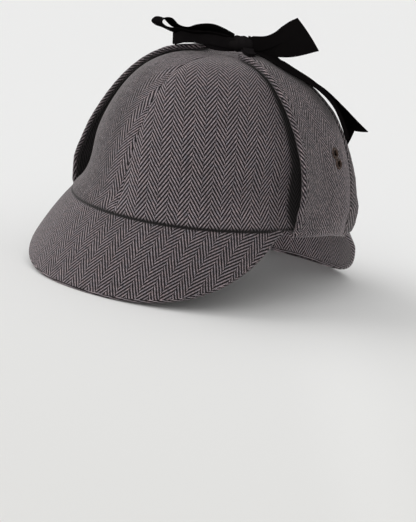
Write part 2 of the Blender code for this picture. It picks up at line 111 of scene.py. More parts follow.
# a turn about X by the pitch, then the lift and the shift: from the level hat to the hat at rest
def settle(places):
    y = places[..., 1] * math.cos(hat["pitch"]) - places[..., 2] * math.sin(hat["pitch"])
    z = places[..., 1] * math.sin(hat["pitch"]) + places[..., 2] * math.cos(hat["pitch"])
    return np.stack([places[..., 0] + hat["shiftX"], y + hat["shiftY"], z + hat["lift"]], axis=-1)


# distance walked along the rows (axis 1) or the columns (axis 0) of a grid of points
def walked(places, axis):
    steps = np.linalg.norm(np.diff(places, axis=axis), axis=-1)
    start = np.zeros_like(np.take(steps, [0], axis=axis))
    return np.concatenate([start, np.cumsum(steps, axis=axis)], axis=axis)


# the cross product of a grid's steps along both its axes, made one long
def gridNormals(places):
    normal = np.cross(np.gradient(places, axis=1), np.gradient(places, axis=0))
    return normal / (np.linalg.norm(normal, axis=-1, keepdims=True) + 1e-12)


# the area of the two triangles in each cell, summed
def gridArea(places):
    first = np.cross(places[1:, :-1] - places[:-1, :-1], places[:-1, 1:] - places[:-1, :-1])
    second = np.cross(places[1:, :-1] - places[1:, 1:], places[:-1, 1:] - places[1:, 1:])
    return float((np.linalg.norm(first, axis=-1) + np.linalg.norm(second, axis=-1)).sum() / 2)


# one object at the origin; cloth is each point's place on the flat cloth, marks are its other values
def putMesh(name, points, faces, cloth, marks, material, sharpAngle=None):
    mesh = bpy.data.meshes.new(name)
    mesh.from_pydata(points.tolist(), [], faces)
    corners = np.empty(len(mesh.loops), dtype=np.int32)
    mesh.loops.foreach_get("vertex_index", corners)
    if cloth is not None:
        layer = mesh.uv_layers.new(name="cloth")
        layer.uv.foreach_set("vector", cloth[corners].astype(np.float32).ravel())
    for word, values in (marks or {}).items():
        mesh.attributes.new(word, "FLOAT", "POINT").data.foreach_set("value", values.astype(np.float32))
    mesh.materials.append(material)
    item = bpy.data.objects.new(name, mesh)
    bpy.context.scene.collection.objects.link(item)
    mesh.shade_smooth()
    if sharpAngle:
        mesh.set_sharp_from_angle(angle=math.radians(sharpAngle))
    return item


# Two grids of points, an outer and an inner face, made one closed cloth. With sharedEdge the inner face
# uses the outer face's border, otherwise a narrow strip joins the two. cloth gives each point's place on
# the flat cloth in millimetres. A mark is one grid for both faces, or a grid for each.
def clothShell(name, outer, inner, cloth, marks, material, sharedEdge=False, sharpAngle=None):
    rows, columns = outer.shape[:2]
    own = (slice(1, -1), slice(1, -1)) if sharedEdge else (slice(None), slice(None))
    top = np.arange(rows * columns).reshape(rows, columns)
    under = top.copy()
    under[own] = rows * columns + np.arange(top[own].size).reshape(top[own].shape)
    points = np.concatenate([outer.reshape(-1, 3), inner[own].reshape(-1, 3)])
    flat = np.concatenate([cloth.reshape(-1, 2), cloth[own].reshape(-1, 2)])
    marks = {word: grid if isinstance(grid, tuple) else (grid, grid) for word, grid in marks.items()}
    values = {word: np.concatenate([outside.ravel(), inside[own].ravel()])
              for word, (outside, inside) in marks.items()}
    quads = lambda index: np.stack([index[:-1, :-1], index[:-1, 1:], index[1:, 1:], index[1:, :-1]], -1)
    ring = lambda index: np.concatenate([index[0, :-1], index[:-1, -1], index[-1, :0:-1], index[:0:-1, 0]])
    faces = [quads(top).reshape(-1, 4), quads(under).reshape(-1, 4)[:, ::-1]]
    if not sharedEdge:
        a, b = ring(top), ring(under)
        faces.append(np.stack([np.roll(a, -1), a, b, np.roll(b, -1)], -1))
    faces = np.concatenate(faces)
    if np.sum(gridNormals(outer) * (outer - inner)) < 0:
        faces = faces[:, ::-1]
    return putMesh(name, points, faces.tolist(), flat, values, material, sharpAngle)


# Two layers turned in at an edge: half the thickness = radius sqrt(1 - (1 - d / radius)^2) at a distance
# d from it, and the way from the edge's tip round the roll and on over the cloth.
def rolledEdge(toEdge, radius):
    share = np.clip(toEdge / radius, 0, 1)
    half = radius * np.sqrt(1 - (1 - share) ** 2)
    return half, radius * np.arccos(1 - share) + np.maximum(toEdge - radius, 0)


# the piece moves with the hat and stands for its solids, which are hidden
def dress(item, slot, *nodes):
    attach(item, "root")
    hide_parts(*nodes)


class Wire:
    # an output socket; arithmetic on it adds Math nodes to its material
    def __init__(self, paint, socket):
        self.paint = paint
        self.socket = socket

    def maths(self, operation, *others):
        return self.paint.maths(operation, self, *others)

    def __add__(self, other):
        return self.maths("ADD", other)

    def __sub__(self, other):
        return self.maths("SUBTRACT", other)

    def __rsub__(self, other):
        return self.paint.maths("SUBTRACT", other, self)

    def __mul__(self, other):
        return self.maths("MULTIPLY", other)

    def __truediv__(self, other):
        return self.maths("DIVIDE", other)

    def __rtruediv__(self, other):
        return self.paint.maths("DIVIDE", other, self)

    def __lt__(self, other):
        return self.maths("LESS_THAN", other)

    def __gt__(self, other):
        return self.maths("GREATER_THAN", other)

    __radd__ = __add__
    __rmul__ = __mul__

    def floor(self):
        return self.maths("FLOOR")

    def part(self):
        return self.maths("FRACT")

    def cycle(self, period):
        return self.maths("FLOORED_MODULO", period)

    # a half sine over each whole step: 0 at its ends and 1 at its middle
    def arch(self):
        return (self.part() * math.pi).maths("SINE")


class Paint:
    # a material under construction
    def __init__(self, name):
        self.material = bpy.data.materials.new(name)
        self.material.use_nodes = True
        self.tree = self.material.node_tree
        self.shader = self.tree.nodes["Principled BSDF"]

    # adds a node: its settings first, then values or links for its sockets, by name or by number
    def node(self, kind, settings=None, sockets=(), output=0):
        made = self.tree.nodes.new(kind)
        for word, value in (settings or {}).items():
            if word == "stops":
                for element, (place, colour) in zip(made.color_ramp.elements, value):
                    element.position = place
                    element.color = (*colour, 1.0)
            else:
                setattr(made, word, value)
        pairs = sockets.items() if isinstance(sockets, dict) else enumerate(sockets)
        for key, value in pairs:
            self.put(made.inputs[key], value)
        return Wire(self, made.outputs[output])

    def put(self, socket, value):
        if isinstance(value, Wire):
            self.tree.links.new(value.socket, socket)
        else:
            socket.default_value = value

    def set(self, **values):
        for word, value in values.items():
            self.put(self.shader.inputs[word.replace("_", " ")], value)

    def maths(self, operation, *values):
        return self.node("ShaderNodeMath", {"operation": operation}, values)

    def mix(self, factor, first, second, blend="MIX"):
        return self.node("ShaderNodeMix", {"data_type": "RGBA", "blend_type": blend},
                         {0: factor, 6: first, 7: second}, 2)

    # one colour made lighter or darker by a tone
    def tint(self, colour, tone):
        return self.mix(1.0, (*colour, 1.0), tone, "MULTIPLY")

    def noise(self, vector, scale, detail, roughness):
        return self.node("ShaderNodeTexNoise", {}, {"Vector": vector, "Scale": scale, "Detail": detail,
                                                    "Roughness": roughness})

    def bump(self, height, strength, distance):
        self.set(Normal=self.node("ShaderNodeBump", {}, {"Strength": strength, "Distance": distance,
                                                         "Height": height}))

    # a value that the piece's own points carry
    def mark(self, word):
        return self.node("ShaderNodeAttribute", {"attribute_name": word}, output=2)

    def objectPlace(self):
        return self.node("ShaderNodeTexCoord", output=3)

    # the X and Y of a vector
    def flat(self, vector):
        parts = self.node("ShaderNodeSeparateXYZ", {}, [vector]).socket.node.outputs
        return Wire(self, parts[0]), Wire(self, parts[1])

    # a place on the flat cloth, in millimetres
    def clothPlace(self):
        return self.flat(self.node("ShaderNodeUVMap", {"uv_map": "cloth"}))


# A two-and-two twill that turns back every 12 warp ends. warp and weft are the yarns' spacing in
# millimetres. The light yarn's tone varies by end, fibre, slub and place, and by its felted wool, which
# speckles and mottles it; even brings the mean back. The names with soft and felt are for brushed cloth.
tweedLook = dict(warp=0.555, weft=0.816, ends=12, origin=2000.0, stripPlace=0.4, floatPower=0.7,
                 wanderEnds=1.2, wanderPicks=0.9, light=(0.375, 0.322, 0.338), dark=(0.0055, 0.0042, 0.0046),
                 endTone=0.22, fibreTone=0.5, slubTone=1.7, driftTone=0.4, speckle=0.9, mottle=0.4, even=0.53,
                 leastTone=0.05, lightTone=0.08, softTone=0.4, softRound=0.5, darkTone=0.5, darkRound=0.7,
                 pickTone=0.7, feltTone=0.28, feltSpeckle=2.2, feltPatch=1.5, cool=(0.78, 0.92, 1.02),
                 warm=(1.20, 1.03, 0.96), paintedHighlightLevel=0.75, pressed=(0.004, 0.0035, 0.0035), roughness=0.92,
                 fibreShine=0.12, sheen=0.25, sheenRoughness=0.45, sheenTint=(0.85, 0.80, 0.79),
                 specular=0.18, bumpStrength=0.5, bumpDepth=0.25 * mm, bumpFibre=0.35, bumpWeft=0.5)
# scale, detail and roughness of each noise in the wool
woolNoises = dict(wander=(190.0, 4.0, 0.6), fibre=(2600.0, 3.0, 0.7), drift=(55.0, 3.0, 0.5),
                  slub=(950.0, 2.0, 0.5), felt=(1100.0, 2.0, 0.6), fleck=(420.0, 2.0, 0.5),
                  patch=(260.0, 3.0, 0.6))


def makeTweed(name, look):
    paint = Paint(name)
    flatX, flatY = paint.clothPlace()
    # on a rolled border the strip of cloth follows the edge: right is then the way round the roll
    onBorder = paint.mark("border") < 0.0
    right = flatX + onBorder * (paint.mark("edge") + look["stripPlace"] - flatX) + look["origin"]
    along = flatY + look["origin"]
    place = paint.objectPlace()
    wool = {word: paint.noise(place, *grain) for word, grain in woolNoises.items()}
    # the yarns wander a little, as they do in a soft wool
    wander = wool["wander"] - 0.5
    acrossEnds = right / look["warp"] + wander * look["wanderEnds"]
    acrossPicks = along / look["weft"] + wander * look["wanderPicks"]
    end, pick = acrossEnds.floor(), acrossPicks.floor()
    column = (end / look["ends"]).floor().cycle(2.0)
    climb = (end + 0.5).maths("PINGPONG", float(look["ends"])) - 0.5
    step = (pick + climb + column * 2.0).cycle(4.0)
    over = step < 1.5
    # a light warp float is two picks long and round across; a dark weft shows between the floats
    floatAlong = ((step + acrossPicks.part()) * (math.pi / 2)).maths("SINE").maths("MAXIMUM", 0.0)
    warpShape = acrossEnds.arch() * floatAlong.maths("POWER", look["floatPower"])
    weftShape = acrossPicks.arch().maths("POWER", look["floatPower"])
    endTone, pickTone = (paint.node("ShaderNodeTexWhiteNoise", {"noise_dimensions": "1D"}, {"W": yarn})
                         for yarn in (end, pick))
    soft, rub, shade = (paint.mark(word) for word in ("soft", "rub", "shade"))
    tone = endTone * look["endTone"] + wool["fibre"] * look["fibreTone"] + wool["slub"] * look["slubTone"]
    tone = tone + wool["felt"] * look["speckle"] + (wool["drift"] - 0.5) * look["driftTone"] - look["even"]
    tone = (tone + (wool["fleck"] - 0.5) * look["mottle"]).maths("MAXIMUM", look["leastTone"])
    # painted shade: each light float is made darker towards its edges and ends, and each dark weft towards
    # its edges, for the shade on round yarns
    lightTone = warpShape * (1.0 - soft * look["softRound"]) + soft * look["softTone"] + look["lightTone"]
    lightYarn = paint.tint(look["light"], lightTone * tone)
    darkTone = (weftShape * look["darkRound"] + look["darkTone"]) * (pickTone + 1.0) * look["pickTone"]
    darkYarn = paint.tint(look["dark"], darkTone)
    # where the cloth is brushed, felted wool hides the weave
    felted = look["feltTone"] + (wool["felt"] - 0.5) * look["feltSpeckle"]
    felted = felted + (wool["patch"] - 0.5) * look["feltPatch"]
    colour = paint.mix(over * (1.0 - soft) + soft * felted, darkYarn, lightYarn)
    # warm and cool flecks of fibre
    fleck = paint.mix(wool["fleck"], (*look["cool"], 1.0), (*look["warm"], 1.0))
    colour = paint.mix(1.0, colour, fleck, "MULTIPLY")
    # painted highlight and painted shade: the cloth is made paler where a highlight is painted on it, and
    # darker where shade is painted on it
    colour = paint.mix(rub, colour, (*(level * look["paintedHighlightLevel"] for level in look["light"]), 1.0))
    colour = paint.mix(shade, colour, (*look["pressed"], 1.0))
    height = over * warpShape + (1.0 - over) * weftShape * look["bumpWeft"]
    paint.set(Base_Color=colour, Roughness=look["roughness"] - wool["fibre"] * look["fibreShine"],
              Sheen_Weight=look["sheen"], Sheen_Roughness=look["sheenRoughness"],
              Sheen_Tint=(*look["sheenTint"], 1.0), Specular_IOR_Level=look["specular"])
    paint.bump(height + wool["fibre"] * look["bumpFibre"], look["bumpStrength"], look["bumpDepth"])
    return paint.material


# rib and thread are the ribbon's spacings along and across it, in millimetres
ribbonLook = dict(colour=(0.0050, 0.0044, 0.0045), rib=0.42, thread=0.294, drift=(240.0, 2.0, 0.5),
                  tone=0.75, ribTone=0.25, driftTone=0.3, roughness=0.34, roughnessDrift=0.16,
                  bumpStrength=0.35, bumpDepth=0.06 * mm, bumpThread=0.5)


def makeRibbonMaterial(name, look):
    paint = Paint(name)
    right, along = paint.clothPlace()
    ribs = (along / look["rib"]).arch()
    threads = (right / look["thread"]).arch()
    drift = paint.noise(paint.objectPlace(), *look["drift"])
    # painted shade: the tone is lighter on the middle of each rib and darker between ribs; drift varies it at
    # random
    tone = look["tone"] + ribs * look["ribTone"] + drift * look["driftTone"]
    paint.set(Base_Color=paint.tint(look["colour"], tone), Specular_IOR_Level=0.0,
              Roughness=look["roughness"] + drift * look["roughnessDrift"])
    paint.bump(ribs + threads * look["bumpThread"], look["bumpStrength"], look["bumpDepth"])
    return paint.material


brassLook = dict(stops=[(0.35, (0.030, 0.020, 0.017)), (0.75, (0.165, 0.112, 0.090))],
                 stain=(900.0, 4.0, 0.65), roughness=0.28, roughnessStain=0.25, bumpStrength=0.15,
                 bumpDepth=0.05 * mm)


# brass that is dark with age, brighter where it is worn
def makeBrass(name, look):
    paint = Paint(name)
    stain = paint.noise(paint.objectPlace(), *look["stain"])
    colour = paint.node("ShaderNodeValToRGB", {"stops": look["stops"]}, [stain])
    paint.set(Base_Color=colour, Metallic=1.0, Roughness=look["roughness"] + stain * look["roughnessStain"])
    paint.bump(stain, look["bumpStrength"], look["bumpDepth"])
    return paint.material


tweed = makeTweed("herringbone_tweed", tweedLook)
# the flaps' tweed: its light yarn a little darker than the crown's, as painted shade, and its felt speckled
# and mottled more
facing = makeTweed("tweed_facing", dict(tweedLook, weft=0.80, speckle=3.0, even=1.58, mottle=2.0,
                                        light=(0.358, 0.307, 0.323)))
ribbonBlack = makeRibbonMaterial("black_ribbon", ribbonLook)
# painted sheen: at the ties and round the knot, where it is pulled tight, the ribbon's colour is made a
# little lighter
ribbonSheen = makeRibbonMaterial("painted_sheen_ribbon", dict(ribbonLook, colour=(0.0105, 0.0093, 0.0097)))
brass = makeBrass("antique_brass", brassLook)
print("materials made")


# Each flap turns up at a fold under the rim and narrows over the crown. It comes before the crown,
# because the crown is shaded where a flap stands over it.
flaps = dict(turn=math.radians(94), reach=0.92, topShare=0.885, foldShare=0.12, seamDepth=1.2 * mm,
             seamGap=-0.3 * mm, columns=79, foldRows=22, rows=112, half=1.45 * mm, borderHalf=1.72 * mm,
             border=4.3 * mm, topBorder=25 * mm, seamHalf=1.6 * mm, seamRun=2 * mm, groove=0.55 * mm,
             grooveWidth=0.6 * mm, borderStep=(-0.4 * mm, 1 * mm), pucker=0.07 * mm, puckerEvery=8,
             puckerWidth=5 * mm, puckerStart=(0.12, 0.25),
             seamClimbs=(0, 0.05, 0.17, 0.27, 0.37, 1.0), rearSeam=(20.0, 15.8, 10.8, 7.5, 4.8, 3.2))
# painted shade and painted highlight on a flap: how dark it is painted along its seams, on the rear border,
# at the front, inside, and under the ribbon's tail, and how pale it is painted beside the seam and on the
# field.
# Ranges across run from -1 at the front edge to 1 at the rear edge.
flapShade = dict(seam=0.55, seamPlace=-0.3 * mm, seamWidth=0.5 * mm, border=0.3, borderEdge=0.3 * mm,
                 borderAcross=(0, 0.1), front=0.1, frontAcross=(-0.3, 0.5), inside=0.45, insideMore=0.48,
                 insideReach=(0.5 * mm, 3 * mm), tail=0.9, tailReach=(-20 * mm, -6 * mm),
                 tailClimb=(0.36, 0.52), soft=0.1, softReach=0.6 * mm, bias=0.4, biasAcross=(-0.1, 0.1),
                 ridge=0.55, ridgePlace=0.9 * mm, ridgeWidth=0.8 * mm,
                 field=0.22, fieldPlace=4 * mm, fieldWidth=5 * mm, paintedHighlightAcross=(0.1, 0.3))
# how far the fold hangs, in millimetres, at these places from its front edge to its rear edge
foldPlaces = (-1, 0, 0.6, 0.85, 1)
foldDrops = {"left": (0.2, 3.4, 7.0, 6.0, 1.5), "right": (6.0, 4.5, 3.9, 3.65, 3.5)}
# share of the climb, half width, height off the crown, and how much higher than that the front edge
# (left flap, right flap) and the rear edge stand
flapRows = np.array([
    (0.00, 34.0, 4.0, 0.2, 9.0, 1.4), (0.03, 35.5, 4.8, 5.4, 10.2, 1.4), (0.06, 35.5, 5.4, 7.8, 10.2, 1.3),
    (0.11, 34.8, 6.0, 8.9, 9.7, 1.4), (0.18, 33.5, 6.2, 8.6, 8.6, 1.9), (0.26, 31.8, 6.2, 7.6, 7.6, 1.9),
    (0.38, 28.8, 5.9, 5.2, 5.2, 2.2), (0.50, 25.3, 5.2, 3.2, 3.2, 2.7), (0.64, 20.0, 3.9, 1.6, 1.6, 1.3),
    (0.75, 15.0, 2.9, 0.8, 0.8, 0.3), (0.86, 11.0, 2.4, 0.2, 0.2, 0.2), (0.95, 8.5, 2.2, 0.0, 0.0, 0.0),
    (1.00, 5.0, 2.1, 0.0, 0.0, 0.0)])
# how far the left flap's edges stand in from that half width: share of the climb, front, rear
flapInset = np.array([
    (0.00, 0.0, 5.5), (0.01, 0.1, 2.6), (0.02, 0.3, 1.0), (0.035, 0.6, 0.2), (0.05, 0.8, 0.0),
    (0.18, 3.2, 0.0), (0.30, 4.6, 0.0), (0.45, 4.4, 0.0), (0.62, 2.6, 0.0), (0.80, 0.8, 0.0),
    (1.00, 0.0, 0.0)])
# where the two eyelets sit, across the flap and up its climb, and the sizes of one
eyelets = [dict(across=0.345, climb=0.330), dict(across=0.385, climb=0.278)]
eyelet = dict(rim=2.9 * mm, rimHalf=0.95 * mm, stand=0.05 * mm, rise=0.6 * mm, bore=1.6 * mm,
              barrel=2.08 * mm, drill=2.2 * mm, washer=2.5 * mm, washerFoot=2.7 * mm,
              washerDepth=0.35 * mm, seat=0.02 * mm, clear=0.1 * mm)


# one column of the table at a share of the climb
def flapColumn(place, climb):
    return np.interp(climb, flapRows[:, 0], flapRows[:, place]) * mm


# half the flap's width towards its front or rear edge, less the left flap's inset
def flapHalf(side, across, climb):
    front, rear = (np.interp(climb, flapInset[:, 0], flapInset[:, place]) * mm for place in (1, 2))
    return flapColumn(1, climb) - np.where(side > 0, np.where(across < 0, front, rear), 0)


panels = dict(columns=85, rows=121, gap=0.12 * mm, wall=2.0 * mm, topShare=0.997,
              seamDepth=0.4 * mm, seamWidth=1.1 * mm, swellDepth=0.35 * mm, swellWidth=5 * mm,
              swellClimb=0.1, hemDepth=0.6 * mm, hemWidth=0.8 * mm, ripple=0.16 * mm,
              rippleTurn=9, rippleClimb=11, pucker=0.3, puckerEvery=7, puckerWidth=4 * mm,
              smoothGirth=20 * mm)
# how dark the painted shadow in the gap under a flap, the painted shade along the hem and the painted shade
# on the brushed side are, and how soft the weave is towards the top; the gap's shadow starts further in at
# the flap's foot. Ranges are of distance, turn or climb.
panelShade = dict(gap=0.93, gapEdge=(-1.5 * mm, 2.5 * mm), gapTop=(0.80, 0.90), foot=2.5 * mm,
                  footTop=(0.1, 0.6), hem=0.97, hemFront=1.5 * mm, hemSide=0.5 * mm, hemTurn=(0.6, 1.1),
                  paintedSideShade=0.42, paintedSideShadeTurn=(0.02, 0.3), paintedSideShadeTop=(0.5, 0.8), softTurn=(0.04, 0.5), topSoft=0.12,
                  topClimb=(0.68, 0.9))
# where each panel starts and ends round the hat, and how far its nap hides the weave
panelCuts = {
    "front_left": (0.0, hat["sideSeam"], 0.0),
    "back_left": (hat["sideSeam"], math.pi, 0.0),
    "back_right": (-math.pi, -hat["sideSeam"], 0.0),
    "front_right": (-hat["sideSeam"], 0.0, 0.76),
}


# The cloth rolls in at its seams: -depth exp(-(d / width)^2), once narrow and once wide, where d is
# the distance to the seam. It is drawn in over the peak's ends by the waist, and rolls in at the hem.
def makePanel(word, first, last, brushed, number):
    half = panels["columns"] // 2
    across = gathered(panels["columns"])[None, :]
    climb = gathered(2 * panels["rows"])[:panels["rows"], None]
    climb = climb / climb.max() * panels["topShare"]
    height = heightAt(climb)
    girth = hat["halfLength"] * wallRadius(height)
    margin = panels["gap"] / 2 / (girth + 0.5 * mm)
    turn = first + margin + across * (last - first - 2 * margin)
    climb = climb + 0 * turn
    up = climb * wallLength
    toSeam = np.minimum(turn - first, last - turn) * girth
    side = bell(np.abs(turn) - hat["waistTurn"], hat["waistTurnSpread"])
    level = bell(height - hat["waistHeight"], hat["waistHeightSpread"])
    waist = hat["waistDepth"] * side * level * np.clip(height / hat["waistStart"], 0, 1)
    swell = panels["swellDepth"] * bell(toSeam, panels["swellWidth"])
    swell = swell * np.clip(climb / panels["swellClimb"], 0, 1)
    seam = panels["seamDepth"] * bell(toSeam, panels["seamWidth"])
    hem = panels["hemDepth"] * bell(up, panels["hemWidth"])
    pucker = np.sin(up / mm * 2 * math.pi / panels["puckerEvery"] + number)
    pucker = panels["pucker"] * pucker * bell(toSeam, panels["puckerWidth"])
    wave = np.sin(turn * panels["rippleTurn"] + number) * np.sin(climb * panels["rippleClimb"] + number * 2)
    ripple = panels["ripple"] * (pucker + wave)
    fade = np.clip(girth / panels["smoothGirth"], 0, 1)
    outer = crownPoint(turn, climb, -waist - swell - seam * fade - hem + ripple * fade)
    inner = crownPoint(turn, climb, -waist - 0.5 * swell - panels["wall"])
    plain = crownPoint(turn, climb, 0)
    flatX = walked(plain, 1) / mm
    flatY = walked(plain, 0)[:, half:half + 1] / mm
    cloth = np.stack([flatX - flatX[:, half:half + 1], flatY + 0 * flatX], axis=-1)
    # how far a place lies under the turned-up flap, negative outside its edges
    ahead = np.abs(turn) - flaps["turn"]
    span = flapHalf(np.sign(turn), ahead, np.clip(climb / flaps["topShare"], 0, 1))
    under = (span / (girth * flaps["reach"] + mm) - np.abs(ahead)) * girth
    under = under - panelShade["foot"] * (1 - smoothStep(*panelShade["footTop"], climb))
    # painted shadow: the crown is made dark where the flap stands over it, less so near the top
    gap = panelShade["gap"] * smoothStep(*panelShade["gapEdge"], under)
    gap = gap * (1 - smoothStep(*panelShade["gapTop"], climb))
    # painted shade: a dark line along the hem where the crown meets the peak, wider towards the sides
    hemReach = panelShade["hemSide"] * smoothStep(*panelShade["hemTurn"], np.abs(turn))
    hemShadow = panelShade["hem"] * bell(up, panelShade["hemFront"] + hemReach)
    # painted shade: the brushed side is made darker, less so towards the top
    paintedSideShade = panelShade["paintedSideShade"] * brushed * smoothStep(*panelShade["paintedSideShadeTurn"], -turn)
    paintedSideShade = paintedSideShade * (1 - smoothStep(*panelShade["paintedSideShadeTop"], climb))
    soft = brushed * smoothStep(*panelShade["softTurn"], -turn)
    soft = soft + panelShade["topSoft"] * smoothStep(*panelShade["topClimb"], climb)
    marks = dict(soft=soft, shade=np.maximum(np.maximum(gap, hemShadow), paintedSideShade))
    item = clothShell("crown_" + word + "_cloth", settle(outer), settle(inner), cloth, marks, tweed,
                      sharpAngle=60)
    dress(item, "tweed", "crown_" + word)
    gridArea(plain)


for number, (word, panelCut) in enumerate(panelCuts.items()):
    makePanel(word, *panelCut, number)
print("crown made")


# Two layers of tweed over a stiff core. Angles are in degrees and lengths in millimetres; grain is how
# far the weave is turned from the peak's middle, and tuck how far the cloth is drawn in at its ends.
peaks = {
    "front_peak": dict(middle=0, span=71, depth=52, roundness=3.0, fullness=1.15, droop=54, endDroop=3,
                       sweep=0.27, bow=1.5, tuck=0.0, grain=2, border=1.2, borderLine=0.0,
                       soft=0.7, softEnd=1),
    "rear_peak": dict(middle=180, span=49, depth=63, roundness=3.0, fullness=0.6, droop=76.5, endDroop=1,
                      sweep=0.12, bow=1.0, tuck=5.5, grain=0, border=4.0, borderLine=0.6,
                      soft=0.4, softEnd=-1),
}
peakBuild = dict(columns=141, rows=67, thickness=3.0 * mm, tipDepth=3 * mm, seatGap=0.3 * mm,
                 edgeRadius=1.5 * mm, allowance=2.6 * mm, tuckEnds=(0.55, 0.9), tuckStart=(-1 * mm, 9 * mm),
                 tuckStop=(19 * mm, 34 * mm), floorGap=0.02 * mm)
# painted shade: how dark the seam at the rim, the border's seam line and the whole face are painted, the face
# more so at one end; seamReach is of distance, the other ranges are of along
peakShade = dict(seam=0.97, seamReach=(0.3 * mm, 1.4 * mm), seamEnds=(0.9, 0.99), face=0.14, endMore=0.08,
                 endRange=(0.2, 0.6), softRange=(0.38, 0.8), linePlace=-0.2 * mm, lineWidth=0.5 * mm)


# A strip of cone set on the rim: reach = depth (1 - |along|^roundness)^fullness, falling at the droop
# angle, with a bow of sin(pi depth) across it. The tuck grows below the seam and dies away before
# the edge.
def peakMiddle(shape, along, depth):
    middle = math.radians(shape["middle"])
    turn = middle + along * math.radians(shape["span"])
    normal = np.stack([np.sin(turn) / hat["halfWidth"], -np.cos(turn) / hat["halfLength"], 0 * turn], -1)
    normal /= np.linalg.norm(normal, axis=-1, keepdims=True)
    ahead = np.array([math.sin(middle), -math.cos(middle), 0.0])
    out = normal + shape["sweep"] * np.abs(along)[..., None] * ahead
    out /= np.linalg.norm(out, axis=-1, keepdims=True)
    droop = np.radians(shape["droop"] + shape["endDroop"] * along ** 2)
    up = np.array([0, 0, 1.0])
    fall = out * np.cos(droop)[..., None] - up * np.sin(droop)[..., None]
    outward = out * np.sin(droop)[..., None] + up * np.cos(droop)[..., None]
    fullness = np.clip(1 - np.abs(along) ** shape["roundness"], 0, None) ** shape["fullness"]
    reach = np.maximum(shape["depth"] * mm * fullness, peakBuild["tipDepth"])
    travel = depth * (reach + peakBuild["allowance"]) - peakBuild["allowance"]
    bow = shape["bow"] * mm * np.sin(np.pi * np.clip(travel / reach, 0, 1)) * fullness
    seat = crownSurface(turn, 0 * turn) - normal * peakBuild["thickness"] / 2
    seat[..., 2] -= peakBuild["seatGap"] + peakBuild["thickness"] / 2 * np.cos(droop)
    tuck = shape["tuck"] * mm * smoothStep(*peakBuild["tuckEnds"], np.abs(along))
    tuck = tuck * smoothStep(*peakBuild["tuckStart"], travel)
    tuck = tuck * (1 - smoothStep(*peakBuild["tuckStop"], travel))
    place = seat + fall * travel[..., None] + outward * bow[..., None] - out * tuck[..., None]
    return place, outward, reach, travel, turn - middle


# the strip of cone with its two faces, half the rolled edge's thickness to each side
def makePeak(name, shape):
    along = (gathered(peakBuild["columns"], 0.6) * 2 - 1)[None, :] * np.ones((peakBuild["rows"], 1))
    depth = gathered(peakBuild["rows"])[:, None] * np.ones_like(along)
    middle, outward, reach, travel, turn = peakMiddle(shape, along, depth)
    run = walked(middle, 1)
    toEdge = np.minimum(reach - travel, np.minimum(run, run[:, -1:] - run))
    toEdge = np.minimum(toEdge, travel + peakBuild["allowance"])
    half, fromTip = rolledEdge(toEdge, peakBuild["edgeRadius"])
    # the cone rolled out flat: an arc of radius rim / cos(droop), then turned by the grain
    lean = math.radians(shape["droop"])
    slant = (hat["halfWidth"] + hat["halfLength"]) / 2 / math.cos(lean)
    angle = turn * math.cos(lean)
    flatX = (slant + travel) * np.sin(angle) / mm
    flatY = (slant - (slant + travel) * np.cos(angle)) / mm
    grain = math.radians(shape["grain"])
    cloth = np.stack([flatX * math.cos(grain) - flatY * math.sin(grain),
                      flatX * math.sin(grain) + flatY * math.cos(grain)], axis=-1)
    toSeam = toEdge - shape["border"] * mm
    # painted shade: a dark line at the rim's seam and along the border's seam, and the whole face a little
    # darker, more at one end
    line = shape["borderLine"] * bell(toSeam - peakShade["linePlace"], peakShade["lineWidth"])
    seam = peakShade["seam"] * (1 - smoothStep(*peakShade["seamReach"], travel))
    seam = seam * (1 - smoothStep(*peakShade["seamEnds"], np.abs(along)))
    face = peakShade["face"] + peakShade["endMore"] * smoothStep(*peakShade["endRange"], -along)
    soft = shape["soft"] * smoothStep(*peakShade["softRange"], -along * shape["softEnd"])
    marks = dict(soft=soft, edge=(fromTip / mm, -fromTip / mm), border=toSeam / mm,
                 shade=np.maximum(seam, np.maximum(line, face)))
    faces = []
    for sign in (1, -1):
        face = settle(middle + sign * outward * half[..., None])
        face[..., 2] = np.maximum(face[..., 2], peakBuild["floorGap"])
        faces.append(face)
    item = clothShell(name + "_cloth", *faces, cloth, marks, tweed, sharedEdge=True)
    dress(item, "tweed", name)
    gridArea(middle)


for name, shape in peaks.items():
    makePeak(name, shape)
print("peaks made")


# height off the crown = lift + curl across^2, with its own curl at the front and the rear
def flapAbove(side, across, climb):
    share = climb * flaps["topShare"]
    reach = hat["halfLength"] * flaps["reach"] * wallRadius(heightAt(share))
    turn = flaps["turn"] + across * flapHalf(side, across, climb) / reach
    curl = np.where(across < 0, flapColumn(3 if side > 0 else 4, climb), flapColumn(5, climb))
    return crownPoint(side * turn, share, flapColumn(2, climb) + curl * across ** 2)


# Below the climb the cloth runs down from the seam, round a half circle between the seam and the
# flap's foot, and so up the outside.
def flapMiddle(side, word, across, along):
    climb = np.clip((along - flaps["foldShare"]) / (1 - flaps["foldShare"]), 0, 1)
    above = flapAbove(side, across, climb)
    foot = flapAbove(side, across, 0 * climb)
    turn = flaps["turn"] + across * flapHalf(side, across, 0 * climb) / (hat["halfLength"] * flaps["reach"])
    rim = crownSurface(side * turn, 0 * turn)
    outward = foot - rim
    outward[..., 2] = 0
    standOff = np.linalg.norm(outward, axis=-1)
    outward /= standOff[..., None]
    bend = np.clip(along / flaps["foldShare"], 0, 1) * math.pi
    radius = (standOff + flaps["seamDepth"]) / 2
    out = radius * (1 - np.cos(bend)) - flaps["seamDepth"]
    hang = np.interp(across, foldPlaces, foldDrops[word]) * mm * np.sin(np.minimum(bend, math.pi / 2))
    drop = flaps["seamGap"] + hang + radius * np.sin(bend) - (foot[..., 2] - rim[..., 2]) * bend / math.pi
    folded = rim + outward * out[..., None]
    folded[..., 2] -= drop
    return np.where((along < flaps["foldShare"])[..., None], folded, above)


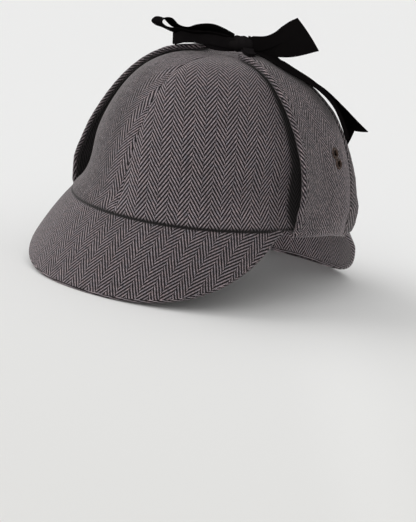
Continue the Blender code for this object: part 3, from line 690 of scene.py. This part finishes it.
# a point of the flap at rest, and the way out of the cloth there
def flapFrame(side, across, climb):
    step = 0.01
    across, climb = np.array([across]), np.array([climb])
    here = settle(flapAbove(side, across, climb))[0]
    ahead = settle(flapAbove(side, across + step, climb))[0] - here
    up = settle(flapAbove(side, across, climb + step))[0] - here
    normal = np.cross(ahead, up) * side
    return here, normal / np.linalg.norm(normal)


# a profile of (radius, rise) turned about the normal: radius cos(angle) and radius sin(angle) across it
# and rise along it, closed both round the turn and round the profile
def turnedRing(name, profile, place, normal, material, steps=56):
    angle = np.linspace(0, 2 * math.pi, steps, endpoint=False)[:, None]
    radius, rise = np.array(profile)[None, :, 0], np.array(profile)[None, :, 1]
    side = np.cross(normal, (0.0, 0.0, 1.0))
    side /= np.linalg.norm(side)
    other = np.cross(normal, side)
    points = (place + (radius * np.cos(angle))[..., None] * side + (radius * np.sin(angle))[..., None] * other
              + (rise + 0 * angle)[..., None] * normal)
    count = len(profile)
    index = np.arange(steps * count).reshape(steps, count)
    nextStep, nextPoint = np.roll(index, -1, 0), np.roll(index, -1, 1)
    faces = np.stack([index, nextStep, np.roll(nextStep, -1, 1), nextPoint], -1).reshape(-1, 4)
    return putMesh(name, points.reshape(-1, 3), faces.tolist(), None, None, material, 50)


# flange with a rolled top, barrel through the cloth, small washer inside (radius, rise)
def eyeletProfile(half):
    turn = np.linspace(0, math.pi, 13)
    radius = eyelet["rim"] + eyelet["rimHalf"] * np.cos(turn)
    flange = list(zip(radius, half + eyelet["stand"] + eyelet["rise"] * np.sin(turn)))
    foot, seat = -half - eyelet["washerDepth"], half + eyelet["seat"]
    return flange + [(eyelet["bore"], foot), (eyelet["washer"], foot), (eyelet["washerFoot"], -seat),
                     (eyelet["barrel"], -seat), (eyelet["barrel"], seat)]


# a true hole through the cloth, and the brass ring that lines it
def setEyelet(item, name, place, outward):
    axis, wide, long = 0.01 * mm, eyelet["drill"], 8 * mm
    drill = turnedRing("drill", [(axis, -long), (wide, -long), (wide, long), (axis, long)], place, outward,
                       facing, 32)
    bore = item.modifiers.new("Bore", "BOOLEAN")
    bore.operation, bore.solver, bore.object = "DIFFERENCE", "EXACT", drill
    ready = item.evaluated_get(bpy.context.evaluated_depsgraph_get())
    bored = bpy.data.meshes.new_from_object(ready)
    item.modifiers.clear()
    item.data = bored
    bpy.data.objects.remove(drill)
    ring = turnedRing(name + "_ring", eyeletProfile(flaps["half"] + eyelet["clear"]), place, outward, brass)
    dress(ring, "brass", name)


# the folded cloth with half its thickness to each side, its borders, what its material needs, and its
# two eyelets
def makeFlap(side, word):
    columns = gathered(flaps["columns"], 0.9) * 2 - 1
    climb = 1 - 2 * gathered(2 * flaps["rows"], 0.9)[:flaps["rows"]][::-1]
    along = np.concatenate([np.linspace(0, flaps["foldShare"], flaps["foldRows"], endpoint=False),
                            flaps["foldShare"] + (1 - flaps["foldShare"]) * climb])
    across, along = np.meshgrid(columns * side, along / along.max())
    climb = np.clip((along - flaps["foldShare"]) / (1 - flaps["foldShare"]), 0, 1)
    middle = flapMiddle(side, word, across, along)
    right, up = walked(middle, 1), walked(middle, 0)
    half = flaps["columns"] // 2
    fromTop = up[-1:, :] - up
    toEdge = np.minimum(np.minimum(right, right[:, -1:] - right), fromTop)
    # the rear border widens downwards: how far its seam lies from the rear edge at each climb
    fromRear = right[:, -1:] - right if side > 0 else right
    toRearSeam = fromRear - np.interp(climb, flaps["seamClimbs"], flaps["rearSeam"]) * mm
    toTopSeam = toEdge - flaps["border"] * (fromTop < flaps["topBorder"])
    toSeam = np.where(across > 0, np.minimum(toRearSeam, toTopSeam), toEdge - flaps["border"])
    # half the cloth's thickness: rolled at the edge, thick on the border, sunk at its seam
    radius = flaps["borderHalf"]
    rolled, fromTip = rolledEdge(toEdge, radius)
    field = radius - (radius - flaps["half"]) * smoothStep(*flaps["borderStep"], toSeam)
    groove = flaps["groove"] * bell(toSeam, flaps["grooveWidth"])
    thick = np.where(toEdge < radius, rolled, field) - groove
    thick = np.minimum(thick, np.sqrt(np.clip(up, 0, None) / flaps["seamRun"]) * flaps["seamHalf"])
    normal = gridNormals(middle)
    pucker = np.sin(up / mm * 2 * math.pi / flaps["puckerEvery"] + side) * bell(toEdge, flaps["puckerWidth"])
    pucker = flaps["pucker"] * pucker * smoothStep(*flaps["puckerStart"], along)
    middle = middle + normal * pucker[..., None]
    cloth = np.stack([right - right[:, half:half + 1], up[:, half:half + 1] + 0 * right], axis=-1) / mm
    # painted shade: a dark line along the border's seam, a darker rear border, and the front part a little
    # darker
    line = flapShade["seam"] * bell(toSeam - flapShade["seamPlace"], flapShade["seamWidth"])
    rearBorder = smoothStep(0, flapShade["borderEdge"], -toSeam)
    line = line + flapShade["border"] * rearBorder * smoothStep(*flapShade["borderAcross"], across)
    line = np.maximum(line, flapShade["front"] * (1 - smoothStep(*flapShade["frontAcross"], across)))
    if side > 0:
        # the ribbon's tail keeps the light off this flap's rear edge
        tail = smoothStep(*flapShade["tailReach"], -fromRear) * smoothStep(*flapShade["tailClimb"], climb)
        line = np.maximum(line, flapShade["tail"] * tail)
    # painted shade: the flap's inner face, which faces the crown, is made dark, darker a few millimetres in
    # from its edge
    inside = flapShade["inside"] + flapShade["insideMore"] * smoothStep(*flapShade["insideReach"], toEdge)
    # painted highlight: a pale line on the field just beyond the border's seam and a paler band beyond it, on
    # the flap's rear part
    ridge = flapShade["ridge"] * bell(toSeam - flapShade["ridgePlace"], flapShade["ridgeWidth"])
    fieldHighlight = flapShade["field"] * bell(toSeam - flapShade["fieldPlace"], flapShade["fieldWidth"]) * (toSeam > 0)
    rub = np.maximum(ridge, fieldHighlight) * smoothStep(*flapShade["paintedHighlightAcross"], across)
    soft = flapShade["soft"] * smoothStep(0, flapShade["softReach"], toSeam)
    # the rear strip is cut on the bias, so its twill runs more nearly along the edge
    steep = (1 - flapShade["bias"] * smoothStep(*flapShade["biasAcross"], across)) * fromTip / mm
    marks = dict(soft=soft, edge=(steep, -steep), border=toSeam / mm, rub=rub,
                 shade=(line, np.maximum(line, inside)))
    faces = [settle(middle + sign * normal * thick[..., None]) for sign in (1, -1)]
    if np.sum(gridNormals(faces[0])[-10:] * (faces[0] - faces[1])[-10:]) < 0:
        faces.reverse()
    item = clothShell("ear_flap_" + word + "_cloth", *faces, cloth, marks, facing, sharedEdge=True)
    dress(item, "facing", "ear_flap_" + word)
    gridArea(middle)
    for number, row in enumerate(eyelets, start=1):
        setEyelet(item, "eyelet_" + word + "_" + str(number), *flapFrame(side, row["across"], row["climb"]))


makeFlap(1, "left")
makeFlap(-1, "right")
print("flaps made")


# Each row is one section of ribbon, in millimetres and degrees: x, y, z, the width it takes up, and
# which way the width points (bearing in plan, lean above the level).
ribbonPaths = {
    "tie_right": [(-36, -2, 98, 22, -85, 5), (-31, -8, 100.2, 16, -75, 20), (-31, -16, 99.8, 9.8, -60, 48),
                  (-29, -21.8, 99.3, 8.9, -47, 70), (-24, -21.5, 101.4, 8.8, -45, 80),
                  (-17.5, -18, 103.0, 7.6, -45, 80), (-13.5, -15.5, 102.9, 7.8, -47, 79),
                  (-8, -12.4, 101.5, 11.2, -50, 77),
                  (-0.5, -7.6, 100.6, 11.5, -54, 72), (6, -4, 100.6, 10, -54, 70)],
    "tie_left": [(24, -9, 97.5, 8, 85, 0), (19.5, -7, 98.5, 7, 75, 0), (15.8, -3.5, 99.3, 6, 60, 0)],
    "bow_loop_right": [(12.6, 1.2, 101.6, 11.5, -35, -80), (18, 4.6, 101.2, 10.6, -30, -78),
                       (24, 10, 102.6, 13.6, -25, -74), (31, 17, 106.0, 20.5, 0, -62),
                       (38, 24.5, 110.5, 24.5, 18, -50), (40, 27, 111.8, 25, 20, -49),
                       (38.5, 29, 111.5, 25, 20, -49), (33, 26, 108.5, 23, 14, -54),
                       (26, 20, 105.0, 17, -5, -68), (19, 12, 102.4, 11, -30, -78),
                       (12.2, 6.0, 101.8, 10, -35, -80)],
    "bow_loop_left": [(4.5, -4.0, 103.2, 10, -54, 52), (-2.5, -7, 105.8, 12, -54, 46),
                      (-7, -9.5, 107.2, 15, -54, 38), (-17, -16, 107.2, 18, -50, 24),
                      (-22, -20, 106.6, 21, -44, 14), (-28, -24, 108.2, 23, -40, 10),
                      (-33, -27.5, 112.4, 24, -37, 8), (-35.6, -29.6, 112.2, 25, -36, 8),
                      (-37.2, -30.7, 109.8, 25, -36, 8), (-34.8, -29.5, 107.8, 25, -37, 8),
                      (-32, -28, 107.0, 24, -38, 8), (-27.6, -25, 106.2, 22, -42, 16),
                      (-18, -18, 104.4, 18, -50, 24),
                      (-9, -12, 104.6, 14, -54, 36), (2, -6.2, 103.6, 10, -54, 50)],
    "ribbon_tail_right": [(11, 7.8, 99.4, 8, -50, 0), (16, 17, 97.6, 15, -52, 3), (22, 33, 88.2, 22, -51, 8),
                          (28.4, 48.4, 79.8, 25, -51, 11), (35.2, 60.2, 71.8, 25, -50, 14),
                          (43.6, 69.2, 61, 25, -44, 15), (50.8, 73.7, 50.6, 25, -33, 22),
                          (56.4, 75.8, 42.7, 25, -22, 33)],
}
# turn at the front and rear edge, share of the climb at each, height of the front, middle and rear
laidTail = np.array([
    (110, 134, .862, .862, 4.6, 4.6, 4.6), (101, 126, .800, .800, 4.7, 4.8, 4.5),
    (97, 117, .735, .765, 5.1, 5.2, 4.7), (100, 122, .665, .730, 5.8, 5.9, 4.4),
    (106, 129, .605, .675, 7.2, 7.0, 2.7), (110.5, 132, .550, .615, 8.8, 8.2, 3.4),
    (114, 133.5, .485, .520, 10.1, 9.7, 5.7), (114.5, 132, .420, .425, 10.6, 10.3, 6.9),
    (114, 130.5, .370, .360, 10.6, 10.3, 7.0), (113.5, 129.5, .325, .315, 10.4, 10.2, 7.0)])
ribbon = dict(width=25 * mm, thickness=0.5 * mm, columns=37, step=0.8 * mm, laidRows=130, layer=0.85 * mm,
              fold=4 * mm, folds=1.5, cup=0.6 * mm, notch=5.5 * mm)


# cubic Hermite curves through the rows of a table, with slopes taken by finite differences
def throughRows(values, lengths, stations):
    slopes = np.gradient(values, lengths, axis=0)
    place = np.clip(np.searchsorted(lengths, stations, side="right") - 1, 0, len(lengths) - 2)
    gap = (lengths[place + 1] - lengths[place])[..., None]
    share = (stations - lengths[place])[..., None] / gap
    return ((2 * share ** 3 - 3 * share ** 2 + 1) * values[place]
            + (share ** 3 - 2 * share ** 2 + share) * gap * slopes[place]
            + (3 * share ** 2 - 2 * share ** 3) * values[place + 1]
            + (share ** 3 - share ** 2) * gap * slopes[place + 1])


# Across a ribbon that is drawn in, s runs from -1 to 1: x = a s - b sin(1.5 pi s) folds it like an S,
# with its layers a fixed pitch apart; b grows from 0 as the width falls from the ribbon's own. Where it
# isn't drawn in, it is cupped a little. A notched end is cut back by the notch at its middle.
def ribbonGrid(rows, notched):
    table = np.array(rows, dtype=float)
    middles = table[:, 0:3] * mm
    lengths = np.concatenate([[0], np.cumsum(np.linalg.norm(np.diff(middles, axis=0), axis=1))])
    bearing, lean = np.radians(table[:, 4]), np.radians(table[:, 5])
    pointing = np.stack([np.cos(lean) * np.cos(bearing), np.cos(lean) * np.sin(bearing), np.sin(lean)], -1)
    count = int(lengths[-1] / ribbon["step"]) + 2
    s, share = np.meshgrid(np.linspace(-1, 1, ribbon["columns"]), np.linspace(0, 1, count))
    end = lengths[-1] - (ribbon["notch"] * (1 - np.abs(s)) if notched else 0)
    station = share * end
    place = throughRows(middles, lengths, station)
    reach = throughRows(pointing * (table[:, 3:4] * mm / 2), lengths, station)
    half = np.linalg.norm(reach, axis=-1, keepdims=True)
    ahead, behind = (throughRows(middles, lengths, station + step * mm) for step in (0.1, -0.1))
    side = reach / half
    normal = np.cross(ahead - behind, side)
    normal /= np.linalg.norm(normal, axis=-1, keepdims=True) + 1e-12
    flatHalf = ribbon["width"] / 2
    drawn = np.clip((flatHalf - half[..., 0]) / (flatHalf - ribbon["fold"]), 0, 1)
    b = ribbon["fold"] * drawn
    a = half[..., 0] - b
    x = a * s - b * np.sin(ribbon["folds"] * math.pi * s)
    z = ribbon["layer"] * ribbon["folds"] * s * drawn + ribbon["cup"] * (s ** 2 - 0.4) * (1 - drawn)
    places = place + side * x[..., None] + normal * z[..., None]
    cloth = np.stack([s * flatHalf, station], axis=-1) / mm
    return places, cloth, float(lengths[-1])


# the tail that lies on the left flap: straight across from its front edge to a line a third of the
# way over, and from there to its rear edge
def laidGrid():
    ridge = 0.33
    stations = np.linspace(0, 1, len(laidTail))
    across, along = np.meshgrid(np.linspace(0, 1, ribbon["columns"]), np.linspace(0, 1, ribbon["laidRows"]))
    at = throughRows(laidTail, stations, along)
    turn = np.radians(at[..., 0] + across * (at[..., 1] - at[..., 0]))
    share = at[..., 2] + across * (at[..., 3] - at[..., 2])
    toMiddle = np.clip(across / ridge, 0, 1)
    toRear = np.clip((across - ridge) / (1 - ridge), 0, 1)
    lift = at[..., 4] + toMiddle * (at[..., 5] - at[..., 4]) + toRear * (at[..., 6] - at[..., 5])
    places = crownPoint(turn, share, lift * mm)
    run = walked(places, 0)[:, ribbon["columns"] // 2]
    cloth = np.stack([(across - 0.5) * ribbon["width"], run[:, None] + 0 * across], axis=-1) / mm
    return places, cloth, float(run[-1])


# half the thickness to each side of the grid, along its normals
def makeRibbon(name, places, cloth, length):
    normal = gridNormals(places)
    half = ribbon["thickness"] / 2
    material = ribbonSheen if name.startswith("tie") else ribbonBlack
    outer, inner = (settle(places + sign * normal * half) for sign in (1, -1))
    item = clothShell(name + "_cloth", outer, inner, cloth, {}, material, sharpAngle=70)
    dress(item, "ribbon", name)
    share = gridArea(places) / (ribbon["width"] * length)
    print(name, "length", round(length / mm, 1), "share of its flat area", round(share, 2))


for name, rows in ribbonPaths.items():
    makeRibbon(name, *ribbonGrid(rows, name == "ribbon_tail_right"))
makeRibbon("ribbon_tail_left", *laidGrid())

knot = dict(centre=(8, -0.5, 101.5), halfSize=(8.3, 5.4, 5.4), bearing=math.radians(37), rings=61, steps=72,
            ridge=0.07, ridges=3.5, twist=0.9)


# A wrapped knot: radius (1 - |s|^3)^(1/2.3) along its run, with ridges of cos(3.5 pi s + 0.9 sin(turn))
# where the ribbon is gathered round it.
def makeKnot():
    run, turn = np.meshgrid(np.linspace(-1, 1, knot["rings"])[1:-1],
                            np.linspace(0, 2 * math.pi, knot["steps"], endpoint=False), indexing="ij")
    wave = np.cos(knot["ridges"] * math.pi * run + knot["twist"] * np.sin(turn))
    radius = (1 - np.abs(run) ** 3) ** (1 / 2.3) * (1 - knot["ridge"] * (0.5 + 0.5 * wave) * (1 - run ** 4))
    points = np.stack([run, radius * np.cos(turn), radius * np.sin(turn)], -1).reshape(-1, 3)
    points = np.concatenate([points, [[-1, 0, 0], [1, 0, 0]]]) * knot["halfSize"]
    c, s = math.cos(knot["bearing"]), math.sin(knot["bearing"])
    x, y, z = points.T
    places = settle((np.stack([x * c - y * s, x * s + y * c, z], -1) + knot["centre"]) * mm)
    rings, steps = run.shape
    index = np.arange(rings * steps).reshape(rings, steps)
    after = np.roll(index, -1, 1)
    faces = np.stack([index[:-1], after[:-1], after[1:], index[1:]], -1).reshape(-1, 4)[:, ::-1].tolist()
    first, last = rings * steps, rings * steps + 1
    faces += [[first, int(a), int(b)] for a, b in zip(index[0], after[0])]
    faces += [[last, int(b), int(a)] for a, b in zip(index[-1], after[-1])]
    wide, thick = ribbon["width"] / 2 / mm, knot["halfSize"][1]
    cloth = np.stack([np.append(run, [-1, 1]) * wide, np.append(turn, [0, 0]) * thick], -1)
    item = putMesh("bow_knot_cloth", places, faces, cloth, None, ribbonSheen)
    dress(item, "ribbon", "bow_knot")


makeKnot()
print("ribbon made")


# painted shade: pale, and painted a little darker towards the viewer: the ramp runs from start to stop along
# the bearing
floorLook = dict(half=20, bearing=(0.59, -0.81), start=-0.3, stop=0.7, far=(0.865, 0.865, 0.862, 1),
                 near=(0.775, 0.771, 0.756, 1))


def makeFloor():
    paint = Paint("pale_floor")
    x, y = paint.flat(paint.objectPlace())
    nearness = paint.node("ShaderNodeMapRange", {"interpolation_type": "SMOOTHSTEP"},
                          {"Value": x * floorLook["bearing"][0] + y * floorLook["bearing"][1],
                           "From Min": floorLook["start"], "From Max": floorLook["stop"]})
    paint.set(Base_Color=paint.mix(nearness, floorLook["far"], floorLook["near"]), Roughness=1.0,
              Specular_IOR_Level=0.0)
    half = floorLook["half"]
    mesh = bpy.data.meshes.new("floor")
    mesh.from_pydata([(-half, -half, 0), (half, -half, 0), (half, half, 0), (-half, half, 0)], [],
                     [(0, 1, 2, 3)])
    mesh.materials.append(paint.material)
    floor = bpy.data.objects.new("floor", mesh)
    bpy.context.scene.collection.objects.link(floor)


# broad soft suns: name, where they stand, strength, and how wide they are in degrees
suns = [
    ("left", (-0.85, -0.35, 0.30), 1.6, 70),
    ("key", (-0.55, -0.50, 0.67), 0.35, 60),
    ("front", (0.35, -0.75, 0.55), 0.95, 60),
    ("back", (-0.6, 0.6, 0.5), 0.55, 70),
]
# a low light for the inside of the rear peak
lowLight = dict(place=(0.62, -0.68, 0.035), target=(0.02, 0.115, 0.012), size=0.02, power=24.0, spread=4.8,
                softEdge=0.5)
studio = dict(colour=(0.86, 0.86, 0.855), strength=0.545)


# puts a light or the camera at a place, with its own right, up and back as its axes
def stand(name, data, place, right, up, back):
    item = bpy.data.objects.new(name, data)
    bpy.context.scene.collection.objects.link(item)
    turn = Matrix([[*right], [*up], [*back]]).transposed().to_4x4()
    turn.translation = place
    item.matrix_world = turn
    return item


# a light at a place, shining at its target
def aimed(name, light, place, target):
    back = np.array(place) - np.array(target)
    back /= np.linalg.norm(back)
    right = np.cross((0, 0, 1.0), back)
    right /= np.linalg.norm(right)
    stand(name, light, place, right, np.cross(back, right), back)


def makeLights():
    world = bpy.data.worlds.new("studio")
    bpy.context.scene.world = world
    world.use_nodes = True
    background = world.node_tree.nodes["Background"]
    background.inputs["Color"].default_value = (*studio["colour"], 1)
    background.inputs["Strength"].default_value = studio["strength"]
    for name, place, strength, spread in suns:
        light = bpy.data.lights.new(name, "SUN")
        light.energy, light.angle = strength, math.radians(spread)
        aimed(name, light, place, (0, 0, 0))
    light = bpy.data.lights.new("low", "SPOT")
    light.energy, light.shadow_soft_size = lowLight["power"], lowLight["size"]
    light.spot_size, light.spot_blend = math.radians(lowLight["spread"]), lowLight["softEdge"]
    aimed("low", light, lowLight["place"], lowLight["target"])


# the photograph's viewpoint, given in the level hat's frame and then tipped with the hat
camera = dict(azimuth=36.2, elevation=13.3, roll=6.3, distance=1.220, focalPixels=1874.0, sensor=36.0,
              offsetX=6.2, offsetY=-65.6, imageWidth=416, imageHeight=522, nearest=0.05, farthest=60.0)


def makeCamera():
    azimuth, elevation, roll = (math.radians(camera[word]) for word in ("azimuth", "elevation", "roll"))
    back = np.array([math.sin(azimuth) * math.cos(elevation), -math.cos(azimuth) * math.cos(elevation),
                     math.sin(elevation)])
    level = np.array([math.cos(azimuth), math.sin(azimuth), 0])
    rise = np.cross(back, level)
    right = math.cos(roll) * level + math.sin(roll) * rise
    up = -math.sin(roll) * level + math.cos(roll) * rise
    origin = settle(np.zeros(3))
    lens = bpy.data.cameras.new("camera")
    longSide = max(camera["imageWidth"], camera["imageHeight"])
    lens.sensor_width = camera["sensor"]
    lens.lens = camera["focalPixels"] / longSide * camera["sensor"]
    lens.shift_x = -camera["offsetX"] / longSide
    lens.shift_y = camera["offsetY"] / longSide
    lens.clip_start, lens.clip_end = camera["nearest"], camera["farthest"]
    axes = [settle(axis) - origin for axis in (right, up, back)]
    bpy.context.scene.camera = stand("camera", lens, settle(back * camera["distance"]), *axes)


bpy.context.scene.view_settings.view_transform = "Standard"
makeFloor()
makeLights()
makeCamera()
bpy.context.view_layer.update()
print("stage and camera made")
